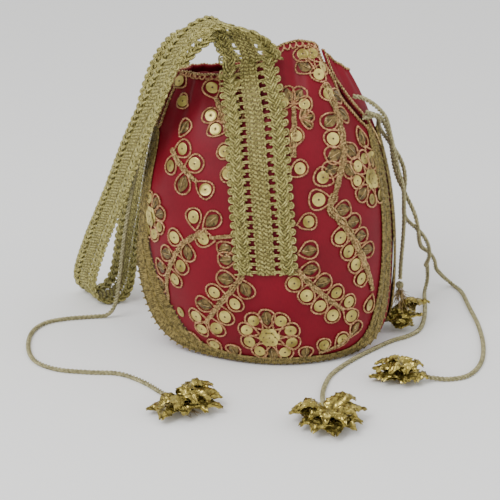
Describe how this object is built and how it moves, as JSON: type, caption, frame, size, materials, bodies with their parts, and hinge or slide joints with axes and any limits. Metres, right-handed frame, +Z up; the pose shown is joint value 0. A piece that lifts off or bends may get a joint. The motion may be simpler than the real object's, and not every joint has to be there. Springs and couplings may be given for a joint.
{
  "type": "potli bag",
  "caption": "Gathered satin drawstring pouch with gold embroidery, a lace handle strap and tasselled pull cords lying loose around it.",
  "frame": {"origin": "middle of the flat base's underside, on the surface that the bag stands on", "axes": "+Z up through the gathered mouth, -Y out of the embroidered front that carries the strap's lower end, +X to the right seen from the front"},
  "size_m": [0.2347, 0.1928, 0.1669],
  "materials": {
    "satin": "deep red satin with a soft sheen",
    "zari_braid": "metallic gold thread in satin stitch",
    "lining_cotton": "matt red cotton",
    "gold_lace": "knitted pale gold metallic yarn",
    "gold_cord": "twisted olive gold cord",
    "gold_foil": "crumpled glossy gold foil ribbon"
  },
  "bodies": {
    "root": {"front_panel": "satin", "back_panel": "satin", "base_panel": "satin", "front_border": "zari_braid", "back_border": "zari_braid", "lining": "lining_cotton", "front_casing": "lining_cotton", "back_casing": "lining_cotton", "lace_strap": "gold_lace", "drawstring_long": "gold_cord", "drawstring_short": "gold_cord", "cord_left": "gold_cord", "cord_side": "gold_cord", "cord_front": "gold_cord", "cord_far": "gold_cord", "tassel_left_petals": "gold_foil", "tassel_left_core": "gold_cord", "tassel_left_knot": "gold_cord", "tassel_front_petals": "gold_foil", "tassel_front_core": "gold_cord", "tassel_front_knot": "gold_cord", "tassel_far_petals": "gold_foil", "tassel_far_core": "gold_cord", "tassel_far_knot": "gold_cord", "tassel_side_petals": "gold_foil", "tassel_side_core": "gold_cord", "tassel_side_knot": "gold_cord"}
  },
  "joints": []
}
